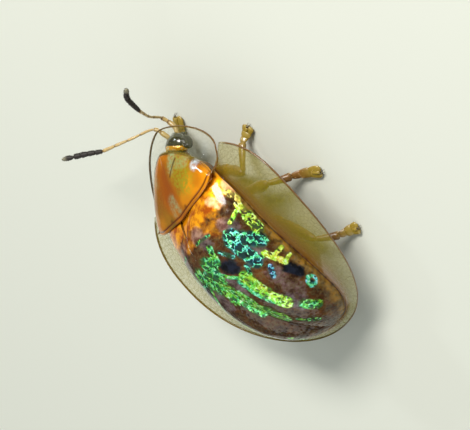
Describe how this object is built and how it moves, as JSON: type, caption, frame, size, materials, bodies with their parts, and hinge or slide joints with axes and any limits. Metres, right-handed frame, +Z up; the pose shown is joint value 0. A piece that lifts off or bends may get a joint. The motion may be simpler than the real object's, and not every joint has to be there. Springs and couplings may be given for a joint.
{
  "type": "tortoise beetle",
  "caption": "Small domed beetle with a wide clear margin all round its patterned shell, standing on short legs with its feelers raised.",
  "frame": {"origin": "on the floor, under the middle of the whole animal", "axes": "+Z up from the floor, -Y toward the head, -X toward the animal's right side"},
  "size_m": [0.006, 0.0084, 0.0029],
  "materials": {
    "elytra": "wet-looking wing case, maroon and orange under a green and blue sheen, clear yellow margin",
    "pronotum": "wet-looking orange shield with a green-gold sheen and a clear yellow-green margin",
    "scutellum": "glossy orange plate with a dark edge",
    "body": "dark brown jointed cuticle, satin",
    "head": "dark grey polished cuticle with a gold band at the neck",
    "eye": "black faceted eye, polished",
    "leg": "amber see-through cuticle with pale hairs and brown pads",
    "antenna": "pale amber joints, satin",
    "club": "black velvety outer joints"
  },
  "bodies": {
    "root": {"elytron_right": "elytra", "elytron_left": "elytra", "pronotum": "pronotum", "scutellum": "scutellum", "abdomen": "body", "thorax": "body", "prothorax": "body", "head": "head", "eye_right": "eye", "eye_left": "eye", "antenna_right": "antenna", "antenna_left": "antenna", "antenna_right_club": "club", "antenna_left_club": "club", "leg_front_right_femur": "leg", "leg_front_right_tibia": "leg", "leg_front_right_tarsus": "leg", "leg_front_left_femur": "leg", "leg_front_left_tibia": "leg", "leg_front_left_tarsus": "leg", "leg_middle_right_femur": "leg", "leg_middle_right_tibia": "leg", "leg_middle_right_tarsus": "leg", "leg_middle_left_femur": "leg", "leg_middle_left_tibia": "leg", "leg_middle_left_tarsus": "leg", "leg_hind_right_femur": "leg", "leg_hind_right_tibia": "leg", "leg_hind_right_tarsus": "leg", "leg_hind_left_femur": "leg", "leg_hind_left_tibia": "leg", "leg_hind_left_tarsus": "leg"}
  },
  "joints": []
}
